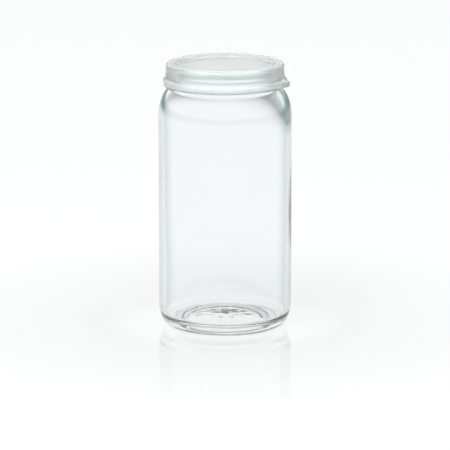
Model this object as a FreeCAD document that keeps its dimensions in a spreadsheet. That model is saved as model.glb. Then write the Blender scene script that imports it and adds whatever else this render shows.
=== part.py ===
"""Specimen jar: a moulded glass jar of about 120 ml, closed by a press-on lid of soft polyethylene.

The frame has +Z up and its origin at the middle of the face that the jar stands on. Lengths are in
millimetres. The jar is one piece of glass and the lid is one moulding, so there are two solids. The lid's
thumb tab points 12 degrees from +X towards -Y. Both are turned pieces: a sketch in the XZ plane has the
radius along its x and the height along its y.
"""

import FreeCAD, Part
import math
import os
import Sketcher

# Driving dimensions: alias, millimetres, what it is.
DIMENSIONS = [
    ("body_radius", 24.5, "outside of the glass body"),
    ("bearing_outer", 18.95, "outer edge of the ring that the jar stands on"),
    ("bearing_inner", 16.6, "inner edge of that ring"),
    ("heel_tight", 4.6, "heel rounding next to the bearing ring"),
    ("heel_wide", 14.0, "heel rounding next to the body"),
    ("punt_radius", 15.2, "edge of the pushed-up middle of the base"),
    ("punt_edge", 1.0, "height of the push-up at its edge"),
    ("punt_height", 2.4, "height of the push-up at its middle"),
    ("shoulder_start", 80.0, "height where the straight body ends"),
    ("shoulder_round", 13.0, "outside rounding of the shoulder"),
    ("neck_radius", 19.6, "outside of the neck"),
    ("neck_fillet", 1.5, "hollow rounding between shoulder and neck"),
    ("bead_radius", 20.45, "outside of the bead that the lid goes over"),
    ("bead_start", 93.0, "height where the bead's lower slope leaves the neck"),
    ("rim_height", 96.8, "top of the glass"),
    ("rim_outer_round", 1.0, "outside rounding of the rim"),
    ("rim_inner_round", 0.6, "inside rounding of the rim"),
    ("bore_radius", 18.6, "inside of the mouth"),
    ("wall", 1.8, "thickness of the body's wall"),
    ("bore_fillet", 3.0, "rounding where the inside of the shoulder meets the mouth"),
    ("floor_radius", 19.7, "radius where the inside floor meets its rounding"),
    ("floor_edge", 3.7, "height of the inside floor there"),
    ("floor_middle", 4.8, "height of the inside floor on the axis"),
    ("knurl_groove", 0.25, "radius of one groove in the bearing ring"),
    ("knurl_start", 16.0, "radius where a groove starts"),
    ("knurl_length", 4.4, "length of a groove"),
    ("dot_circle", 5.7, "radius of the circle of moulded dots under the base"),
    ("dot_radius", 0.9, "radius of one dot"),
    ("dot_face", 1.8, "height of a dot's lower face"),
    ("dot_length", 1.2, "length of a dot, most of it inside the glass"),
    ("lid_height", 98.0, "top of the lid"),
    ("lid_bottom", 90.0, "lower face of the lid's ring"),
    ("lid_top_radius", 21.66, "outside of the skirt at its top corner"),
    ("lid_root_radius", 21.9, "outside of the skirt where the ring starts"),
    ("lid_corner", 1.1, "rounding of the top corner"),
    ("ring_radius", 22.74, "outside of the ring round the skirt's foot"),
    ("ring_face", 1.8, "height of the ring's upright face"),
    ("ring_root", 2.75, "height of the ring where it meets the skirt"),
    ("recess_floor", 17.6, "radius of the sunk panel at its floor"),
    ("recess_top", 18.2, "radius of the sunk panel at its top edge"),
    ("recess_depth", 1.1, "how far the middle panel is sunk"),
    ("panel", 1.0, "thickness of the middle panel"),
    ("skirt_inner", 20.9, "inside of the skirt"),
    ("ridge_inner", 20.6, "inside of the snap ridge, drawn wide enough to pass the bead"),
    ("ridge_middle", 92.4, "height of the middle of the snap ridge"),
    ("ridge_half", 0.6, "height of each of the ridge's two slopes"),
    ("plug_radius", 18.3, "outside of the plug that enters the mouth"),
    ("plug_inner", 17.4, "inside of the plug"),
    ("plug_end", 94.7, "lower end of the plug"),
    ("tab_reach", 24.05, "how far the thumb tab's end is from the jar's axis"),
    ("tab_half", 3.0, "half the tab's width"),
    ("tab_root", 21.4, "where the tab's straight sides start, inside the ring"),
    ("tab_corner", 2.3, "rounding of the tab's two corners"),
]
KNURL_COUNT = 106
DOT_COUNT = 8
DOT_TURN = -20  # degrees from the X axis to the first dot
TAB_TURN = -12  # degrees from the X axis to the middle of the thumb tab


class Size(float):
    """A length that remembers the formula it comes from, so that a sketch can be bound to it."""

    def __new__(cls, value, formula):
        size = super().__new__(cls, value)
        size.formula = formula
        return size

    def __add__(self, other):
        if isinstance(other, Size):
            return Size(float(self) + float(other), f"{self.formula} + {other.formula}")
        return float(self) + other

    def __sub__(self, other):
        if isinstance(other, Size):
            return Size(float(self) - float(other), f"{self.formula} - ({other.formula})")
        return float(self) - other


ZERO = Size(0, "0")
SIZE = {alias: Size(value, "Sizes." + alias) for alias, value, _ in DIMENSIONS}

document = FreeCAD.newDocument("specimen_jar")
sheet = document.addObject("Spreadsheet::Sheet", "Sizes")
for row, (alias, value, meaning) in enumerate(DIMENSIONS, start=1):
    sheet.set(f"A{row}", meaning)
    sheet.set(f"B{row}", str(value))
    sheet.setAlias(f"B{row}", alias)
document.recompute()


class Outline:
    """A closed sketch, drawn edge by edge. A coordinate given as a Size is bound to its formula.

    A coordinate given as a plain number is only where the drawing starts, and tangency settles it.
    """

    def __init__(self, body, name, plane, x, y):
        self.sketch = body.newObject("Sketcher::SketchObject", name)
        self.sketch.AttachmentSupport = [(origin_feature(body, plane), "")]
        self.sketch.MapMode = "FlatFace"
        self.corners = [(x, y)]
        self.ends = []
        self.smooth = set()

    def line(self, x, y, smooth=False):
        """A straight edge to (x, y). smooth makes it tangent to the edge before it."""
        start = FreeCAD.Vector(*self.corners[-1], 0)
        self._keep(Part.LineSegment(start, FreeCAD.Vector(x, y, 0)), (1, 2), x, y, smooth)

    def arc(self, centre, radius, first, last, x, y, smooth=False):
        """A round edge to (x, y), from one angle to the other in degrees, either way round."""
        circle = Part.Circle(FreeCAD.Vector(*centre, 0), FreeCAD.Vector(0, 0, 1), radius)
        low, high = (math.radians(angle) for angle in sorted((first, last)))
        ends = (1, 2) if last > first else (2, 1)
        edge = self._keep(Part.ArcOfCircle(circle, low, high), ends, x, y, smooth)
        if isinstance(radius, Size):
            bind(self.sketch, Sketcher.Constraint("Radius", edge, radius), radius)

    def _keep(self, curve, ends, x, y, smooth):
        edge = self.sketch.addGeometry(curve, False)
        self.ends.append(ends)
        self.corners.append((x, y))
        if smooth:
            self.smooth.add(edge)
        return edge

    def close(self):
        """Joins each edge to the one before it, the first to the last, and binds every corner."""
        for edge, (start, _) in enumerate(self.ends):
            before = edge - 1 if edge else len(self.ends) - 1
            kind = "Tangent" if edge in self.smooth else "Coincident"
            self.sketch.addConstraint(
                Sketcher.Constraint(kind, before, self.ends[before][1], edge, start)
            )
            for distance, axis, size in zip(("DistanceX", "DistanceY"), (-2, -1), self.corners[edge]):
                if not isinstance(size, Size):
                    continue
                if size == 0:
                    held = Sketcher.Constraint("PointOnObject", edge, start, axis)
                    self.sketch.addConstraint(held)
                else:
                    held = Sketcher.Constraint(distance, -1, 1, edge, start, float(size))
                    bind(self.sketch, held, size)

    def centre_on_axis(self, edge):
        """Holds an arc's centre on the sketch's upright axis."""
        self.sketch.addConstraint(Sketcher.Constraint("PointOnObject", edge, 3, -2))


def bind(sketch, constraint, size):
    """Adds a constraint whose value follows the spreadsheet."""
    index = sketch.addConstraint(constraint)
    sketch.setExpression(f"Constraints[{index}]", size.formula)


def origin_feature(body, role):
    return next(feature for feature in body.Origin.OriginFeatures if feature.Role == role)


def new_body(label):
    body = document.addObject("PartDesign::Body", label)
    body.Label = label
    return body


def turn(body, kind, name, outline):
    """Turns an outline once round Z, as glass or plastic ("Revolution") or as space ("Groove")."""
    outline.close()
    feature = body.newObject("PartDesign::" + kind, name)
    feature.Profile = outline.sketch
    feature.ReferenceAxis = (outline.sketch, ["V_Axis"])
    feature.Angle = 360.0
    document.recompute()


def repeat_round(body, name, feature, count):
    """Repeats a feature evenly round the Z axis."""
    pattern = body.newObject("PartDesign::PolarPattern", name)
    pattern.Originals = [feature]
    pattern.Axis = (origin_feature(body, "Z_Axis"), [""])
    pattern.Angle = 360.0
    pattern.Occurrences = count
    body.Tip = pattern
    document.recompute()


def dome_radius(edge_radius, rise):
    """Radius of the ball whose cap has this edge radius and this height."""
    return (float(edge_radius) ** 2 + rise**2) / (2 * rise)


def shoulder_and_neck(outline, shoulder, fillet, neck, start, top):
    """A shoulder's arc, the fillet that turns it up into the neck, and the neck's wall up to top.

    shoulder, fillet and neck are radii, and the arc starts from the pen's place at the height start.
    """
    middle = (outline.corners[-1][0] - float(shoulder), float(start))
    reach = float(shoulder) + float(fillet)
    fillet_x = float(neck) + float(fillet)
    fillet_y = middle[1] + math.sqrt(reach**2 - (fillet_x - middle[0]) ** 2)
    touch = math.degrees(math.atan2(fillet_y - middle[1], fillet_x - middle[0]))
    meeting = (
        middle[0] + shoulder * math.cos(math.radians(touch)),
        middle[1] + shoulder * math.sin(math.radians(touch)),
    )
    outline.arc(middle, shoulder, 0, touch, *meeting, smooth=True)
    outline.arc((fillet_x, fillet_y), fillet, touch + 180, 180, neck, fillet_y, smooth=True)
    outline.line(neck, top, smooth=True)


def glass_outside(body):
    """The outline of the glass as if it were solid: base, heel, body, shoulder, neck, bead and rim."""
    s = SIZE
    rise = s["punt_height"] - s["punt_edge"]
    dome = dome_radius(s["punt_radius"], float(rise))
    dome_edge = math.degrees(math.acos(s["punt_radius"] / dome))
    # The tight heel arc touches the floor plane and the wide one, and the wide one touches the body.
    spread = float(s["heel_wide"]) - s["heel_tight"]
    wide_x = float(s["body_radius"]) - s["heel_wide"]
    lean = math.acos((s["bearing_outer"] - wide_x) / spread)
    wide_y = s["heel_tight"] + spread * math.sin(lean)
    meeting = (wide_x + s["heel_wide"] * math.cos(lean), wide_y - s["heel_wide"] * math.sin(lean))
    slope = s["bead_radius"] - s["neck_radius"]
    rim_x = s["bead_radius"] - s["rim_outer_round"]
    rim_y = s["rim_height"] - s["rim_outer_round"]

    outline = Outline(body, "glass_outside_outline", "XZ_Plane", ZERO, s["punt_height"])
    dome_middle = (0, s["punt_height"] - dome)
    outline.arc(dome_middle, dome, 90, dome_edge, s["punt_radius"], s["punt_edge"])
    outline.line(s["bearing_inner"], ZERO)
    outline.line(s["bearing_outer"], ZERO)
    tight_middle = (s["bearing_outer"], s["heel_tight"])
    lean = math.degrees(lean)
    outline.arc(tight_middle, s["heel_tight"], -90, -lean, *meeting, smooth=True)
    outline.arc((wide_x, wide_y), s["heel_wide"], -lean, 0, s["body_radius"], wide_y, smooth=True)
    outline.line(s["body_radius"], s["shoulder_start"], smooth=True)
    shoulder_and_neck(
        outline,
        s["shoulder_round"],
        s["neck_fillet"],
        s["neck_radius"],
        s["shoulder_start"],
        s["bead_start"],
    )
    outline.line(s["bead_radius"], s["bead_start"] + slope)
    outline.line(s["bead_radius"], rim_y)
    outline.arc((rim_x, rim_y), s["rim_outer_round"], 0, 90, rim_x, s["rim_height"])
    outline.line(ZERO, s["rim_height"])
    outline.line(ZERO, s["punt_height"])
    outline.centre_on_axis(0)
    return outline


def glass_inside(body):
    """The outline of the space inside: floor, inside heel, wall, shoulder and mouth."""
    s = SIZE
    cavity = s["body_radius"] - s["wall"]
    heel = cavity - s["floor_radius"]
    dome = dome_radius(s["floor_radius"], float(s["floor_middle"] - s["floor_edge"]))
    dome_edge = math.degrees(math.acos(s["floor_radius"] / dome))
    lip_x = s["bore_radius"] + s["rim_inner_round"]
    lip_y = s["rim_height"] - s["rim_inner_round"]

    outline = Outline(body, "glass_inside_outline", "XZ_Plane", ZERO, s["floor_middle"])
    dome_middle = (0, s["floor_middle"] - dome)
    outline.arc(dome_middle, dome, 90, dome_edge, s["floor_radius"], s["floor_edge"])
    heel_top = s["floor_edge"] + heel
    outline.arc((s["floor_radius"], heel_top), heel, -90, 0, cavity, heel_top)
    outline.line(cavity, s["shoulder_start"])
    shoulder_and_neck(
        outline,
        s["shoulder_round"] - s["wall"],
        s["bore_fillet"],
        s["bore_radius"],
        s["shoulder_start"],
        lip_y,
    )
    outline.arc((lip_x, lip_y), s["rim_inner_round"], 180, 90, lip_x, s["rim_height"])
    outline.line(ZERO, s["rim_height"])
    outline.line(ZERO, s["floor_middle"])
    outline.centre_on_axis(0)
    return outline


def cut_knurling(body):
    """Short radial grooves across the bearing ring, with a plain land between each two."""
    sketch = body.newObject("Sketcher::SketchObject", "groove_section")
    sketch.AttachmentSupport = [(origin_feature(body, "YZ_Plane"), "")]
    sketch.MapMode = "FlatFace"
    # Half a pitch round from the X axis, so that lands lie on the axis.
    half_pitch = FreeCAD.Rotation(FreeCAD.Vector(0, 1, 0), 180 / KNURL_COUNT)
    away = half_pitch.multVec(FreeCAD.Vector(0, 0, SIZE["knurl_start"]))
    sketch.AttachmentOffset = FreeCAD.Placement(away, half_pitch)
    circle = Part.Circle(FreeCAD.Vector(), FreeCAD.Vector(0, 0, 1), SIZE["knurl_groove"])
    sketch.addGeometry(circle, False)
    sketch.addConstraint(Sketcher.Constraint("Coincident", 0, 3, -1, 1))
    radius = Sketcher.Constraint("Radius", 0, float(SIZE["knurl_groove"]))
    bind(sketch, radius, SIZE["knurl_groove"])
    groove = body.newObject("PartDesign::Pocket", "knurl_groove")
    groove.Profile = sketch
    groove.Reversed = True
    groove.setExpression("Length", SIZE["knurl_length"].formula)
    document.recompute()
    repeat_round(body, "knurling", groove, KNURL_COUNT)


def add_dots(body):
    """A ring of small plain dots under the base, where a glassworks puts its mould marks."""
    sketch = body.newObject("Sketcher::SketchObject", "dot_outline")
    sketch.AttachmentSupport = [(origin_feature(body, "XY_Plane"), "")]
    sketch.MapMode = "FlatFace"
    turned = FreeCAD.Rotation(FreeCAD.Vector(0, 0, 1), DOT_TURN)
    sketch.AttachmentOffset = FreeCAD.Placement(FreeCAD.Vector(), turned)
    sketch.setExpression("AttachmentOffset.Base.z", SIZE["dot_face"].formula)
    middle = FreeCAD.Vector(SIZE["dot_circle"], 0, 0)
    sketch.addGeometry(Part.Circle(middle, FreeCAD.Vector(0, 0, 1), SIZE["dot_radius"]), False)
    sketch.addConstraint(Sketcher.Constraint("PointOnObject", 0, 3, -1))
    place = Sketcher.Constraint("DistanceX", -1, 1, 0, 3, float(SIZE["dot_circle"]))
    bind(sketch, place, SIZE["dot_circle"])
    radius = Sketcher.Constraint("Radius", 0, float(SIZE["dot_radius"]))
    bind(sketch, radius, SIZE["dot_radius"])
    dot = body.newObject("PartDesign::Pad", "dot")
    dot.Profile = sketch
    dot.setExpression("Length", SIZE["dot_length"].formula)
    document.recompute()
    repeat_round(body, "dots", dot, DOT_COUNT)


def glass_jar():
    """The jar, one piece of glass."""
    body = new_body("glass_jar")
    turn(body, "Revolution", "glass", glass_outside(body))
    turn(body, "Groove", "space_inside", glass_inside(body))
    cut_knurling(body)
    add_dots(body)
    return body


def lid_outside(body):
    """The outline of the lid as if it were solid: ring, skirt, top corner and sunk panel."""
    s = SIZE
    corner_x = s["lid_top_radius"] - s["lid_corner"]
    corner_y = s["lid_height"] - s["lid_corner"]
    panel_top = s["lid_height"] - s["recess_depth"]

    outline = Outline(body, "lid_outside_outline", "XZ_Plane", ZERO, s["lid_bottom"])
    outline.line(s["ring_radius"], s["lid_bottom"])
    outline.line(s["ring_radius"], s["lid_bottom"] + s["ring_face"])
    outline.line(s["lid_root_radius"], s["lid_bottom"] + s["ring_root"])
    outline.line(s["lid_top_radius"], corner_y)
    outline.arc((corner_x, corner_y), s["lid_corner"], 0, 90, corner_x, s["lid_height"])
    outline.line(s["recess_top"], s["lid_height"])
    outline.line(s["recess_floor"], panel_top)
    outline.line(ZERO, panel_top)
    outline.line(ZERO, s["lid_bottom"])
    return outline


def lid_inside(body):
    """The outline of the lid's underside: flared foot, snap ridge, seat for the rim, plug and panel."""
    s = SIZE
    panel_under = s["lid_height"] - s["recess_depth"] - s["panel"]
    ridge_low = s["ridge_middle"] - s["ridge_half"]
    ridge_high = s["ridge_middle"] + s["ridge_half"]

    outline = Outline(body, "lid_inside_outline", "XZ_Plane", ZERO, s["lid_bottom"])
    outline.line(s["skirt_inner"], s["lid_bottom"])
    outline.line(s["skirt_inner"], ridge_low)
    outline.line(s["ridge_inner"], s["ridge_middle"])
    outline.line(s["skirt_inner"], ridge_high)
    outline.line(s["skirt_inner"], s["rim_height"])
    outline.line(s["plug_radius"], s["rim_height"])
    outline.line(s["plug_radius"], s["plug_end"])
    outline.line(s["plug_inner"], s["plug_end"])
    outline.line(s["plug_inner"], panel_under)
    outline.line(ZERO, panel_under)
    outline.line(ZERO, s["lid_bottom"])
    return outline


def add_tab(body):
    """The thumb tab: a small tongue with rounded corners, standing out from the ring."""
    s = SIZE
    reach, half, root, corner = s["tab_reach"], s["tab_half"], s["tab_root"], s["tab_corner"]
    corner_x = float(reach) - corner
    corner_y = float(half) - corner

    outline = Outline(body, "tab_outline", "XY_Plane", float(root), -float(half))
    outline.line(corner_x, -float(half))
    outline.arc((corner_x, -corner_y), corner, -90, 0, reach, -corner_y, smooth=True)
    outline.line(reach, corner_y, smooth=True)
    outline.arc((corner_x, corner_y), corner, 0, 90, corner_x, half, smooth=True)
    outline.line(root, half, smooth=True)
    outline.line(float(root), -float(half))
    outline.close()
    sketch = outline.sketch
    sketch.addConstraint(Sketcher.Constraint("Horizontal", 0))
    sketch.addConstraint(Sketcher.Constraint("Symmetric", 0, 1, 5, 1, -1))
    turned = FreeCAD.Rotation(FreeCAD.Vector(0, 0, 1), TAB_TURN)
    sketch.AttachmentOffset = FreeCAD.Placement(FreeCAD.Vector(), turned)
    sketch.setExpression("AttachmentOffset.Base.z", s["lid_bottom"].formula)
    tab = body.newObject("PartDesign::Pad", "tab")
    tab.Profile = sketch
    tab.setExpression("Length", s["ring_face"].formula)
    document.recompute()


def snap_lid():
    """The lid, one moulding of soft polyethylene."""
    body = new_body("snap_lid")
    turn(body, "Revolution", "plastic", lid_outside(body))
    add_tab(body)
    turn(body, "Groove", "underside", lid_inside(body))
    return body


def check(bodies):
    """Stops if anything in the document failed, or if a piece isn't one sound solid."""
    for item in document.Objects:
        if "Invalid" in item.State or "Error" in item.State:
            raise RuntimeError(f"{item.Name} failed: {item.State}")
    for body in bodies:
        shape = body.Shape
        if shape.isNull() or not shape.isValid() or len(shape.Solids) != 1:
            raise RuntimeError(f"{body.Label} isn't one valid solid")


pieces = [glass_jar(), snap_lid()]
document.recompute()
check(pieces)
os.makedirs("parts", exist_ok=True)
for piece in pieces:
    piece.Shape.exportStep(f"parts/{piece.Label}.step")
    print(piece.Label, round(piece.Shape.Volume / 1000, 2), "cubic centimetres")
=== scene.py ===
import bmesh
import bpy
import math
from mathutils import Matrix, Vector, noise


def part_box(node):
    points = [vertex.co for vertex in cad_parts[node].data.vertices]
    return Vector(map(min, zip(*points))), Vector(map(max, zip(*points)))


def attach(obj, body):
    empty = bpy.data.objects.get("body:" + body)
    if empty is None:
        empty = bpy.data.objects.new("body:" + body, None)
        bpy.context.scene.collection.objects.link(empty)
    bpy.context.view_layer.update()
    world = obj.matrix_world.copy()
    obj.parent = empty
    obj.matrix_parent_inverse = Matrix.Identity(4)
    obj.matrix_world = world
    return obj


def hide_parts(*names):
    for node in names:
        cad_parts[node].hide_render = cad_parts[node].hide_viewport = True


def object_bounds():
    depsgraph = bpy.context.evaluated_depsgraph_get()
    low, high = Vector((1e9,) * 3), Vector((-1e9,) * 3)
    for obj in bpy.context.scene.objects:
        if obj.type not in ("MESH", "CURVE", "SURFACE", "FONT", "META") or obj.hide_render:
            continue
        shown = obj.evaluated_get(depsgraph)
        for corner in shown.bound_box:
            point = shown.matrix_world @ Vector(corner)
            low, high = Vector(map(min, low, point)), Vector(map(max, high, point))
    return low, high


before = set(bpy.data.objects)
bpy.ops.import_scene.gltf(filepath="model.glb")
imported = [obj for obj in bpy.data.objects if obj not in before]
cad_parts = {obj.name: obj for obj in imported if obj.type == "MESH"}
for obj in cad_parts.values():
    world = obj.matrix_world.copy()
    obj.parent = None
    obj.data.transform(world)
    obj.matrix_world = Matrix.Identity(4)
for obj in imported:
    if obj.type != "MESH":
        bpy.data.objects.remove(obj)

CAD_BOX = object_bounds()
MM = 0.001
JAR_HIGH = [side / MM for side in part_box("glass_jar")[1]]
LID_LOW, LID_HIGH = ([side / MM for side in corner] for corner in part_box("snap_lid"))

# Glass
BODY_R = JAR_HIGH[0]
RIM_Z = JAR_HIGH[2]
BEARING_IN, BEARING_OUT = 16.6, 18.95
HEEL_TIGHT, HEEL_WIDE = 4.6, 14.0
SHOULDER_Z = RIM_Z - 16.8
SHOULDER_R = 13.0
NECK_R, BEAD_R, BORE_R = 19.6, 20.45, 18.6
NECK_ROUND, BORE_ROUND = 1.5, 3.0
BEAD_Z = RIM_Z - 3.8
WALL = 1.8
# How much thicker than that the wall gets: low on the -X side, high and low on the +X side, anywhere.
THICK_LEFT, THICK_HIGH_RIGHT, THICK_LOW_RIGHT, THICK_WAVE = 0.6, 0.8, 0.3, 0.14
OUTSIDE_WAVE, FLOOR_WAVE, HAMMERED_DEPTH = 0.03, 0.2, 0.075
INSIDE_HEEL_Z = 12
FLOOR_R, FLOOR_EDGE, FLOOR_MIDDLE = 19.7, 3.7, 4.8
PUNT_R, PUNT_EDGE, PUNT_HEIGHT = 15.2, 1.0, 2.4
HAMMERED_R = 12.5
KNURLS = 106
KNURL_DEPTH = 0.25
DOTS = 8
DOT_TURN = math.radians(-20)
DOT_CIRCLE, DOT_R, DOT_HEIGHT = 5.7, 0.9, 0.3
DOT_SLOPE = 0.35
# Height over which the straight wall eases into the shoulder.
EASE = 4.0

# Lid
LID_BOTTOM, LID_TOP = LID_LOW[2], LID_HIGH[2]
RING_R = LID_HIGH[1]
TAB_REACH = 24.05
TAB_HALF, TAB_CORNER = 3.0, 2.3
TAB_TURN = math.radians(-12)
LID_TILT = math.radians(0.1)
RECESS_DEPTH = 1.1
SEAT_GAP = 0.02
LID_WAVE = 0.015
LID_SEGMENTS = 720


def arc(x, z, radius, first, last, step=6.0):
    """Points on an arc, ends included, from one angle to the other in degrees."""
    count = max(2, math.ceil(abs(last - first) / step))
    turned = [math.radians(first + (last - first) * n / count) for n in range(count + 1)]
    return [(x + radius * math.cos(a), z + radius * math.sin(a)) for a in turned]


def fine(points, longest=2.5):
    """The same line with its long edges divided, so that a slow wave can follow it."""
    result = [points[0]]
    for start, end in zip(points, points[1:]):
        count = max(1, math.ceil(math.dist(start, end) / longest))
        for n in range(1, count + 1):
            result.append(tuple(a + (b - a) * n / count for a, b in zip(start, end)))
    return result


def smooth_step(x):
    x = min(1.0, max(0.0, x))
    return x * x * (3 - 2 * x)


def neck_arcs(shoulder, fillet, neck, outer):
    """The shoulder's arc and the fillet that turns it up into the neck."""
    middle = outer - shoulder
    across = neck + fillet - middle
    rise = math.sqrt((shoulder + fillet) ** 2 - across**2)
    touch = math.degrees(math.atan2(rise, across))
    lower = []
    heights = even(SHOULDER_Z - EASE, SHOULDER_Z, 0.6)[:-1]
    heights += [z for _, z in arc(0, SHOULDER_Z, shoulder, 0, touch, 3)]
    for z in heights:
        past = z - SHOULDER_Z + EASE * math.exp(-(z - SHOULDER_Z + EASE) / EASE)
        lower.append((middle + math.sqrt(shoulder**2 - past**2), z))
    upper = arc(neck + fillet, SHOULDER_Z + rise, fillet, touch + 180, 180, 12)
    return lower + upper[1:]


def glass_profile():
    """Under the base from the axis, up the outside, over the rim and down the inside."""
    rise = PUNT_HEIGHT - PUNT_EDGE
    dome = (PUNT_R**2 + rise**2) / (2 * rise)
    under = [(r, PUNT_HEIGHT - dome + math.sqrt(dome**2 - r**2)) for r in even(0, PUNT_R, 0.3)]
    lip = [(15.4, 0.82), (15.9, 0.36), (16.3, 0.12), (BEARING_IN, 0.03), (17.1, 0), (17.9, 0), (18.4, 0)]
    spread = HEEL_WIDE - HEEL_TIGHT
    lean = math.acos((BEARING_OUT - BODY_R + HEEL_WIDE) / spread)
    wide_z = HEEL_TIGHT + spread * math.sin(lean)
    tight = arc(BEARING_OUT, HEEL_TIGHT, HEEL_TIGHT, -90, -math.degrees(lean), 4)
    wide = arc(BODY_R - HEEL_WIDE, wide_z, HEEL_WIDE, -math.degrees(lean), 0, 3)
    outside = tight + wide[1:] + neck_arcs(SHOULDER_R, NECK_ROUND, NECK_R, BODY_R)
    bead = [(NECK_R, BEAD_Z), (NECK_R + 0.3, BEAD_Z + 0.2), (BEAD_R - 0.15, BEAD_Z + 0.65)]
    bead += arc(BEAD_R - 0.5, BEAD_Z + 1.1, 0.5, 0, 0.1) + arc(BEAD_R - 1, RIM_Z - 1, 1.0, 0, 90, 15)
    lip_in = arc(BORE_R + 0.6, RIM_Z - 0.6, 0.6, 90, 180, 18)
    inside = neck_arcs(SHOULDER_R - WALL, BORE_ROUND, BORE_R, BODY_R - WALL)[::-1]
    heel = BODY_R - WALL - FLOOR_R
    inner_heel = arc(FLOOR_R, FLOOR_EDGE + heel, heel, 0, -90, 9)
    rise = FLOOR_MIDDLE - FLOOR_EDGE
    floor = [(r, FLOOR_EDGE + rise * (1 - (r / FLOOR_R) ** 2)) for r in even(FLOOR_R, 0, 0.9)[1:]]
    return fine(under + lip + outside + bead + lip_in + inside + inner_heel + floor)


def even(start, end, step):
    """Evenly spaced numbers from start to end, both included."""
    count = max(1, round(abs(end - start) / step))
    return [start + (end - start) * n / count for n in range(count + 1)]


def glass_shape(r, z, angle, inside):
    """What the mould and the blowing leave: knurling, dots, and a wall that isn't quite even."""
    around = Vector((math.cos(angle), math.sin(angle), z / 30))
    if inside:
        left = max(0.0, -math.cos(angle - 0.2)) ** 2
        right = max(0.0, math.cos(angle)) ** 2
        low_left = 0.35 + 0.65 * smooth_step((66 - z) / 60)
        high_right = smooth_step((z - 70) / 20) * smooth_step((RIM_Z - 3 - z) / 6)
        low_right = smooth_step((60 - z) / 56)
        extra = THICK_LEFT * left * low_left * smooth_step((88 - z) / 22)
        extra += THICK_HIGH_RIGHT * right * high_right + THICK_LOW_RIGHT * right * low_right
        extra += THICK_WAVE * noise.noise(around * 1.3) * smooth_step((RIM_Z - 8 - z) / 10)
        if z < INSIDE_HEEL_Z:
            extra *= smooth_step((r - 14) / 5)
            z += FLOOR_WAVE * noise.noise(Vector((r * math.cos(angle), r * math.sin(angle), 3)) * 0.12)
        return r - extra, z
    if r > PUNT_R and z < 2:
        grip = smooth_step((r - 15.6) / 0.8) * smooth_step((20.6 - r) / 0.7)
        z += KNURL_DEPTH * grip * (0.5 - 0.5 * math.cos(KNURLS * angle))
    elif r < PUNT_R:
        z = base_relief(r, z, angle)
    elif 8 < z < SHOULDER_Z + 8:
        r += OUTSIDE_WAVE * noise.noise(around * 1.7 + Vector((7, 0, 0)))
    return r, z


def base_relief(r, z, angle):
    """The push-up's hammered middle, with a plain flat dot standing down from it here and there."""
    pitch = 2 * math.pi / DOTS
    off = (angle - DOT_TURN + pitch / 2) % pitch - pitch / 2
    away = math.hypot(r * math.cos(off) - DOT_CIRCLE, r * math.sin(off))
    dot = smooth_step((DOT_R - away) / DOT_SLOPE)
    place = Vector((r * math.cos(angle), r * math.sin(angle), 5))
    hammered = HAMMERED_DEPTH * noise.noise(place * 0.3) * smooth_step((HAMMERED_R - r) / 2.5)
    return z + (1 - dot) * hammered - dot * DOT_HEIGHT


def lathe(name, profile, segments, shape):
    """Turns a profile round Z. shape(r, z, angle, number) moves each point, number being its place."""
    mesh = bmesh.new()
    rings = []
    for number, (r, z) in enumerate(profile):
        count = 1 if r < 1e-6 else segments
        ring = []
        for step in range(count):
            angle = 2 * math.pi * step / segments
            radius, height = shape(r, z, angle, number)
            if count == 1:
                radius = 0.0
            place = Vector((radius * math.cos(angle), radius * math.sin(angle), height)) * MM
            ring.append(mesh.verts.new(place))
        rings.append(ring)
    for low, high in zip(rings, rings[1:]):
        for step in range(segments):
            following = (step + 1) % segments
            corners = [low[step % len(low)], low[following % len(low)]]
            corners += [high[following % len(high)], high[step % len(high)]]
            corners = list(dict.fromkeys(corners))
            mesh.faces.new(corners).smooth = True
    bmesh.ops.remove_doubles(mesh, verts=mesh.verts, dist=1e-7)
    bmesh.ops.recalc_face_normals(mesh, faces=mesh.faces)
    data = bpy.data.meshes.new(name)
    mesh.to_mesh(data)
    mesh.free()
    piece = bpy.data.objects.new(name, data)
    bpy.context.collection.objects.link(piece)
    return piece


def make_glass():
    profile = glass_profile()
    rim = max(range(len(profile)), key=lambda n: profile[n][1])

    def shape(r, z, angle, number):
        return glass_shape(r, z, angle, number > rim)

    return lathe("jar_glass", profile, KNURLS * 4, shape)


def tab_radius(angle):
    """How far out the lid's foot reaches: the ring, or the thumb tab with its rounded corners."""
    angle = abs((angle - TAB_TURN + math.pi) % (2 * math.pi) - math.pi)
    if angle > 0.5:
        return RING_R
    across, up = TAB_REACH - TAB_CORNER, TAB_HALF - TAB_CORNER
    if TAB_REACH * math.tan(angle) < up:
        return TAB_REACH / math.cos(angle)
    along = across * math.cos(angle) + up * math.sin(angle)
    under = TAB_CORNER**2 - across**2 - up**2 + along**2
    return max(RING_R, along + math.sqrt(under)) if under > 0 else RING_R


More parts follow.
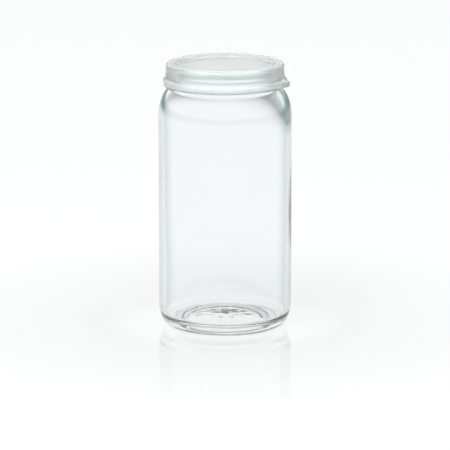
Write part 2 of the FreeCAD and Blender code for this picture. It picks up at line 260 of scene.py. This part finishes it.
def lid_profile():
    """The lid's top from the axis, down the skirt, round the ring, and back under to the axis.

    Points from the ring's chamfer to its foot have a radius measured from the ring's own radius.
    """
    top, low = LID_TOP, LID_BOTTOM
    panel = top - RECESS_DEPTH
    recess = [(r, panel) for r in even(0, 17.0, 1.4)]
    recess += arc(17.0, panel + 0.5, 0.5, -90, -25, 16) + arc(18.6, top - 0.55, 0.55, 150, 90, 15)
    crown = [(19.2, top + 0.02), (19.9, top + 0.02)] + arc(20.56, top - 1.1, 1.1, 90, 3, 11)
    skirt = [(21.72, top - 2.6), (21.8, top - 3.6), (21.86, top - 4.2)]
    fillet = [(21.93, low + 2.9), (22.02, low + 2.68), (22.2, low + 2.42)]
    under = [(22.2, low), (21.6, low + 0.05), (21.35, low + 0.3), (20.95, low + 0.9)]
    ridge = [(20.92, low + 1.7), (20.7, low + 2.1), (20.6, low + 2.4), (20.7, low + 2.7), (20.9, low + 3.1)]
    seat = [(20.9, RIM_Z - 0.4), (20.6, RIM_Z + SEAT_GAP), (18.5, RIM_Z + SEAT_GAP), (18.3, RIM_Z - 0.2)]
    plug = [(18.3, RIM_Z - 1.8), (18.1, RIM_Z - 2.1), (17.6, RIM_Z - 2.1), (17.4, RIM_Z - 1.9)]
    inside = [(17.4, RIM_Z - 1.1), (17.2, panel - 1.05), (16.8, panel - 1.0), (0, panel - 1.0)]
    return recess + crown + skirt + fillet, fine(under + ridge + seat + plug + inside)


def make_lid():
    upper, lower = lid_profile()
    low = LID_BOTTOM
    edge = 0.3
    foot = [("start", 0), ("flat", 0)]
    foot += [("round", turn) for turn in (0, 22, 45, 67, 90)] + [("base", turn) for turn in (0, 45, 90)]
    profile = upper + [(RING_R, low + 1)] * len(foot) + lower
    first = len(upper)

    def shape(r, z, angle, number):
        if not first <= number < first + len(foot):
            return r, z + flow_wave(r, z, angle)
        kind, turn = foot[number - first]
        reach = tab_radius(angle)
        out = smooth_step((reach - RING_R) / 0.6)
        shoulder = RING_R - edge, low + 2.14
        if kind == "start":
            return shoulder
        if kind == "flat":
            return shoulder[0] + edge * out, shoulder[1] - 0.34 * out
        turned = math.radians(turn)
        if kind == "round":
            rise = 0.3 + 0.34 * (1 - out)
            return reach - edge + edge * math.sin(turned), low + 1.5 + rise * math.cos(turned)
        return reach - 0.2 + 0.2 * math.cos(turned), low + 0.2 - 0.2 * math.sin(turned)

    lid = lathe("lid_plastic", profile, LID_SEGMENTS, shape)
    # The lid sits a touch high on its +X side, turning on the rim's opposite edge.
    hinge = Vector((-BEAD_R, 0, RIM_Z)) * MM
    tilt = Matrix.Translation(hinge) @ Matrix.Rotation(-LID_TILT, 4, "Y") @ Matrix.Translation(-hinge)
    lid.data.transform(tilt)
    return lid


def flow_wave(r, z, angle):
    """The slow wave of a thin soft moulding, which is never quite flat."""
    if r > 17:
        return 0.0
    return LID_WAVE * noise.noise(Vector((r * math.cos(angle), r * math.sin(angle), z)) * 0.16)


def new_material(name):
    material = bpy.data.materials.new(name)
    material.use_nodes = True
    return material, material.node_tree.nodes, material.node_tree.links


def noise_bump(nodes, links, shader, scale, detail, strength, distance):
    """A fine uneven surface, in the object's own space."""
    place = nodes.new("ShaderNodeTexCoord")
    grain = nodes.new("ShaderNodeTexNoise")
    grain.inputs["Scale"].default_value = scale
    grain.inputs["Detail"].default_value = detail
    links.new(place.outputs["Object"], grain.inputs["Vector"])
    bump = nodes.new("ShaderNodeBump")
    bump.inputs["Strength"].default_value = strength
    bump.inputs["Distance"].default_value = distance
    links.new(grain.outputs["Fac"], bump.inputs["Height"])
    links.new(bump.outputs["Normal"], shader.inputs["Normal"])
    return place, grain


def glass_material():
    material, nodes, links = new_material("flint_glass")
    shader = nodes["Principled BSDF"]
    shader.inputs["Transmission Weight"].default_value = 1.0
    shader.inputs["IOR"].default_value = 1.52
    place, _ = noise_bump(nodes, links, shader, 90, 1.5, 0.05, 0.0001)
    # Painted shade: where an upright wall is seen edge-on near its outline, its colour turns a darker
    # green, standing in for dark outline bands; only a small part of it is the real green of the longer
    # path through the glass.
    facing = nodes.new("ShaderNodeLayerWeight")
    edge_shade_ramp = nodes.new("ShaderNodeValToRGB")
    edge_shade_ramp.color_ramp.interpolation = "EASE"
    face_tint_stop, edge_shade_stop = edge_shade_ramp.color_ramp.elements
    face_tint_stop.position, face_tint_stop.color = 0.42, (0.972, 0.985, 0.983, 1)
    edge_shade_stop.position, edge_shade_stop.color = 0.82, (0.52, 0.63, 0.61, 1)
    upright = nodes.new("ShaderNodeSeparateXYZ")
    links.new(place.outputs["Normal"], upright.inputs["Vector"])
    level = nodes.new("ShaderNodeMath")
    level.operation = "ABSOLUTE"
    links.new(upright.outputs["Z"], level.inputs[0])
    wall = nodes.new("ShaderNodeMapRange")
    wall.inputs["From Min"].default_value = 0.1
    wall.inputs["From Max"].default_value = 0.8
    wall.inputs["To Min"].default_value = 1.0
    wall.inputs["To Max"].default_value = 0.0
    links.new(level.outputs["Value"], wall.inputs["Value"])
    edge = nodes.new("ShaderNodeMath")
    edge.operation = "MULTIPLY"
    links.new(facing.outputs["Facing"], edge.inputs[0])
    links.new(wall.outputs["Result"], edge.inputs[1])
    links.new(edge.outputs["Value"], edge_shade_ramp.inputs["Fac"])
    # The painted edge shade goes into the glass's colour here.
    links.new(edge_shade_ramp.outputs["Color"], shader.inputs["Base Color"])
    # Handling leaves the surface very slightly less than polished in places.
    haze = nodes.new("ShaderNodeTexNoise")
    haze.inputs["Scale"].default_value = 45
    haze.inputs["Detail"].default_value = 4
    links.new(place.outputs["Object"], haze.inputs["Vector"])
    rough = nodes.new("ShaderNodeMapRange")
    rough.inputs["From Min"].default_value = 0.45
    rough.inputs["From Max"].default_value = 0.8
    rough.inputs["To Min"].default_value = 0.0
    rough.inputs["To Max"].default_value = 0.05
    links.new(haze.outputs["Fac"], rough.inputs["Value"])
    links.new(rough.outputs["Result"], shader.inputs["Roughness"])
    tint = nodes.new("ShaderNodeVolumeAbsorption")
    tint.inputs["Color"].default_value = (0.3, 0.55, 0.47, 1)
    tint.inputs["Density"].default_value = 6
    links.new(tint.outputs["Volume"], nodes["Material Output"].inputs["Volume"])
    return material


def plastic_material():
    material, nodes, links = new_material("milky_polyethylene")
    shader = nodes["Principled BSDF"]
    shader.inputs["Transmission Weight"].default_value = 0.8
    shader.inputs["IOR"].default_value = 1.5
    shader.inputs["Subsurface Weight"].default_value = 0.8
    shader.inputs["Subsurface Radius"].default_value = (1, 1, 1)
    shader.inputs["Subsurface Scale"].default_value = 0.002
    place, grain = noise_bump(nodes, links, shader, 260, 3, 0.1, 0.0001)
    cloud = nodes.new("ShaderNodeTexNoise")
    cloud.inputs["Scale"].default_value = 35
    cloud.inputs["Detail"].default_value = 3
    links.new(place.outputs["Object"], cloud.inputs["Vector"])
    tone = nodes.new("ShaderNodeValToRGB")
    tone.color_ramp.elements[0].color = (0.88, 0.985, 0.965, 1)
    tone.color_ramp.elements[1].color = (0.935, 0.999, 0.985, 1)
    links.new(cloud.outputs["Fac"], tone.inputs["Fac"])
    links.new(tone.outputs["Color"], shader.inputs["Base Color"])
    rough = nodes.new("ShaderNodeMapRange")
    rough.inputs["To Min"].default_value = 0.08
    rough.inputs["To Max"].default_value = 0.2
    links.new(grain.outputs["Fac"], rough.inputs["Value"])
    links.new(rough.outputs["Result"], shader.inputs["Roughness"])
    return material


def floor_material():
    """A white sheet under gloss: it glows as a lit white sweep does, and mirrors what is near it."""
    material, nodes, links = new_material("white_sweep")
    nodes.remove(nodes["Principled BSDF"])
    glow = nodes.new("ShaderNodeEmission")
    glow.inputs["Color"].default_value = (0.99, 0.995, 1, 1)
    matt = nodes.new("ShaderNodeBsdfDiffuse")
    matt.inputs["Color"].default_value = (0.06, 0.06, 0.06, 1)
    white = nodes.new("ShaderNodeAddShader")
    links.new(glow.outputs["Emission"], white.inputs[0])
    links.new(matt.outputs["BSDF"], white.inputs[1])
    gloss = nodes.new("ShaderNodeBsdfGlossy")
    gloss.inputs["Roughness"].default_value = 0.03
    place = nodes.new("ShaderNodeTexCoord")
    far = nodes.new("ShaderNodeVectorMath")
    far.operation = "LENGTH"
    links.new(place.outputs["Object"], far.inputs[0])
    # Seen through glass or in gloss, the sheet gets dimmer towards its far edge.
    dim = nodes.new("ShaderNodeMapRange")
    dim.interpolation_type = "SMOOTHSTEP"
    dim.inputs["From Min"].default_value = 0.45
    dim.inputs["From Max"].default_value = 1.1
    dim.inputs["To Min"].default_value = 0.88
    dim.inputs["To Max"].default_value = 0.3
    links.new(far.outputs["Value"], dim.inputs["Value"])
    path = nodes.new("ShaderNodeLightPath")
    seen = nodes.new("ShaderNodeMix")
    links.new(path.outputs["Is Camera Ray"], seen.inputs["Factor"])
    links.new(dim.outputs["Result"], seen.inputs["A"])
    seen.inputs["B"].default_value = 0.9
    links.new(seen.outputs["Result"], glow.inputs["Strength"])
    fade = nodes.new("ShaderNodeMapRange")
    fade.inputs["From Min"].default_value = 0.045
    fade.inputs["From Max"].default_value = 0.135
    fade.inputs["To Min"].default_value = 1.3
    fade.inputs["To Max"].default_value = 0.0
    links.new(far.outputs["Value"], fade.inputs["Value"])
    near = nodes.new("ShaderNodeMapRange")
    near.inputs["From Min"].default_value = 0.022
    near.inputs["From Max"].default_value = 0.045
    near.inputs["To Min"].default_value = 0.15
    near.inputs["To Max"].default_value = 1.0
    links.new(far.outputs["Value"], near.inputs["Value"])
    mirror = nodes.new("ShaderNodeFresnel")
    mirror.inputs["IOR"].default_value = 1.6
    share = nodes.new("ShaderNodeMath")
    share.operation = "MULTIPLY"
    links.new(fade.outputs["Result"], share.inputs[0])
    links.new(mirror.outputs["Fac"], share.inputs[1])
    contact = nodes.new("ShaderNodeMath")
    contact.operation = "MULTIPLY"
    links.new(share.outputs["Value"], contact.inputs[0])
    links.new(near.outputs["Result"], contact.inputs[1])
    both = nodes.new("ShaderNodeMixShader")
    links.new(contact.outputs["Value"], both.inputs["Fac"])
    links.new(white.outputs["Shader"], both.inputs[1])
    links.new(gloss.outputs["BSDF"], both.inputs[2])
    links.new(both.outputs["Shader"], nodes["Material Output"].inputs["Surface"])
    return material


def make_floor():
    radius = 1.1
    sides = 96
    mesh = bpy.data.meshes.new("floor")
    turns = [2 * math.pi * n / sides for n in range(sides)]
    corners = [(radius * math.cos(a), radius * math.sin(a), 0) for a in turns]
    mesh.from_pydata(corners, [], [tuple(range(sides))])
    floor = bpy.data.objects.new("floor", mesh)
    bpy.context.collection.objects.link(floor)
    floor.data.materials.append(floor_material())


def make_light():
    """A white room with a dim greenish horizon that only the glass and gloss show, and one soft box."""
    world = bpy.data.worlds.new("studio")
    bpy.context.scene.world = world
    world.use_nodes = True
    nodes, links = world.node_tree.nodes, world.node_tree.links
    place = nodes.new("ShaderNodeTexCoord")
    split = nodes.new("ShaderNodeSeparateXYZ")
    links.new(place.outputs["Generated"], split.inputs["Vector"])
    ramp = nodes.new("ShaderNodeValToRGB")
    stops = ramp.color_ramp.elements
    stops[0].position, stops[0].color = 0.05, (0.24, 0.33, 0.31, 1)
    stops[1].position, stops[1].color = 0.12, (1, 1, 1, 1)
    links.new(split.outputs["Z"], ramp.inputs["Fac"])
    links.new(ramp.outputs["Color"], nodes["Background"].inputs["Color"])
    paper = nodes.new("ShaderNodeBackground")
    paper.inputs["Color"].default_value = (1, 1, 1, 1)
    path = nodes.new("ShaderNodeLightPath")
    either = nodes.new("ShaderNodeMixShader")
    links.new(path.outputs["Is Camera Ray"], either.inputs["Fac"])
    links.new(nodes["Background"].outputs["Background"], either.inputs[1])
    links.new(paper.outputs["Background"], either.inputs[2])
    links.new(either.outputs["Shader"], nodes["World Output"].inputs["Surface"])
    soft = bpy.data.lights.new("soft_box", "AREA")
    soft.shape = "RECTANGLE"
    soft.size, soft.size_y = 0.9, 0.6
    soft.energy = 23
    box = bpy.data.objects.new("soft_box", soft)
    box.location = (-0.2, -0.8, 0.9)
    # It lights the jar without showing in the gloss or through the glass.
    box.rotation_euler = (Vector(box.location) - Vector((0, 0, 0.05))).to_track_quat("Z", "Y").to_euler()
    box.visible_glossy = False
    box.visible_transmission = False
    bpy.context.collection.objects.link(box)


def make_camera():
    """A long lens a little above the jar."""
    tall = CAD_BOX[1][2] - CAD_BOX[0][2]
    lens = bpy.data.cameras.new("camera")
    lens.lens = 298
    lens.sensor_width = 36
    lens.clip_end = 50
    camera = bpy.data.objects.new("camera", lens)
    distance, height = 13.7, 3.39
    camera.location = (0, -distance * tall, height * tall)
    aim = Vector((0, 0, 0.38 * tall))
    camera.rotation_euler = (aim - camera.location).to_track_quat("-Z", "Y").to_euler()
    bpy.context.collection.objects.link(camera)
    bpy.context.scene.camera = camera


def light_paths():
    """Enough bounces for light to cross the jar's walls, and plain white that stays white."""
    scene = bpy.context.scene
    scene.view_settings.view_transform = "Standard"
    scene.cycles.max_bounces = 24
    scene.cycles.transmission_bounces = 24


glass = make_glass()
glass.data.materials.append(glass_material())
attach(glass, "jar")
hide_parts("glass_jar")

lid = make_lid()
lid.data.materials.append(plastic_material())
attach(lid, "lid")
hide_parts("snap_lid")

make_floor()
make_light()
make_camera()
light_paths()
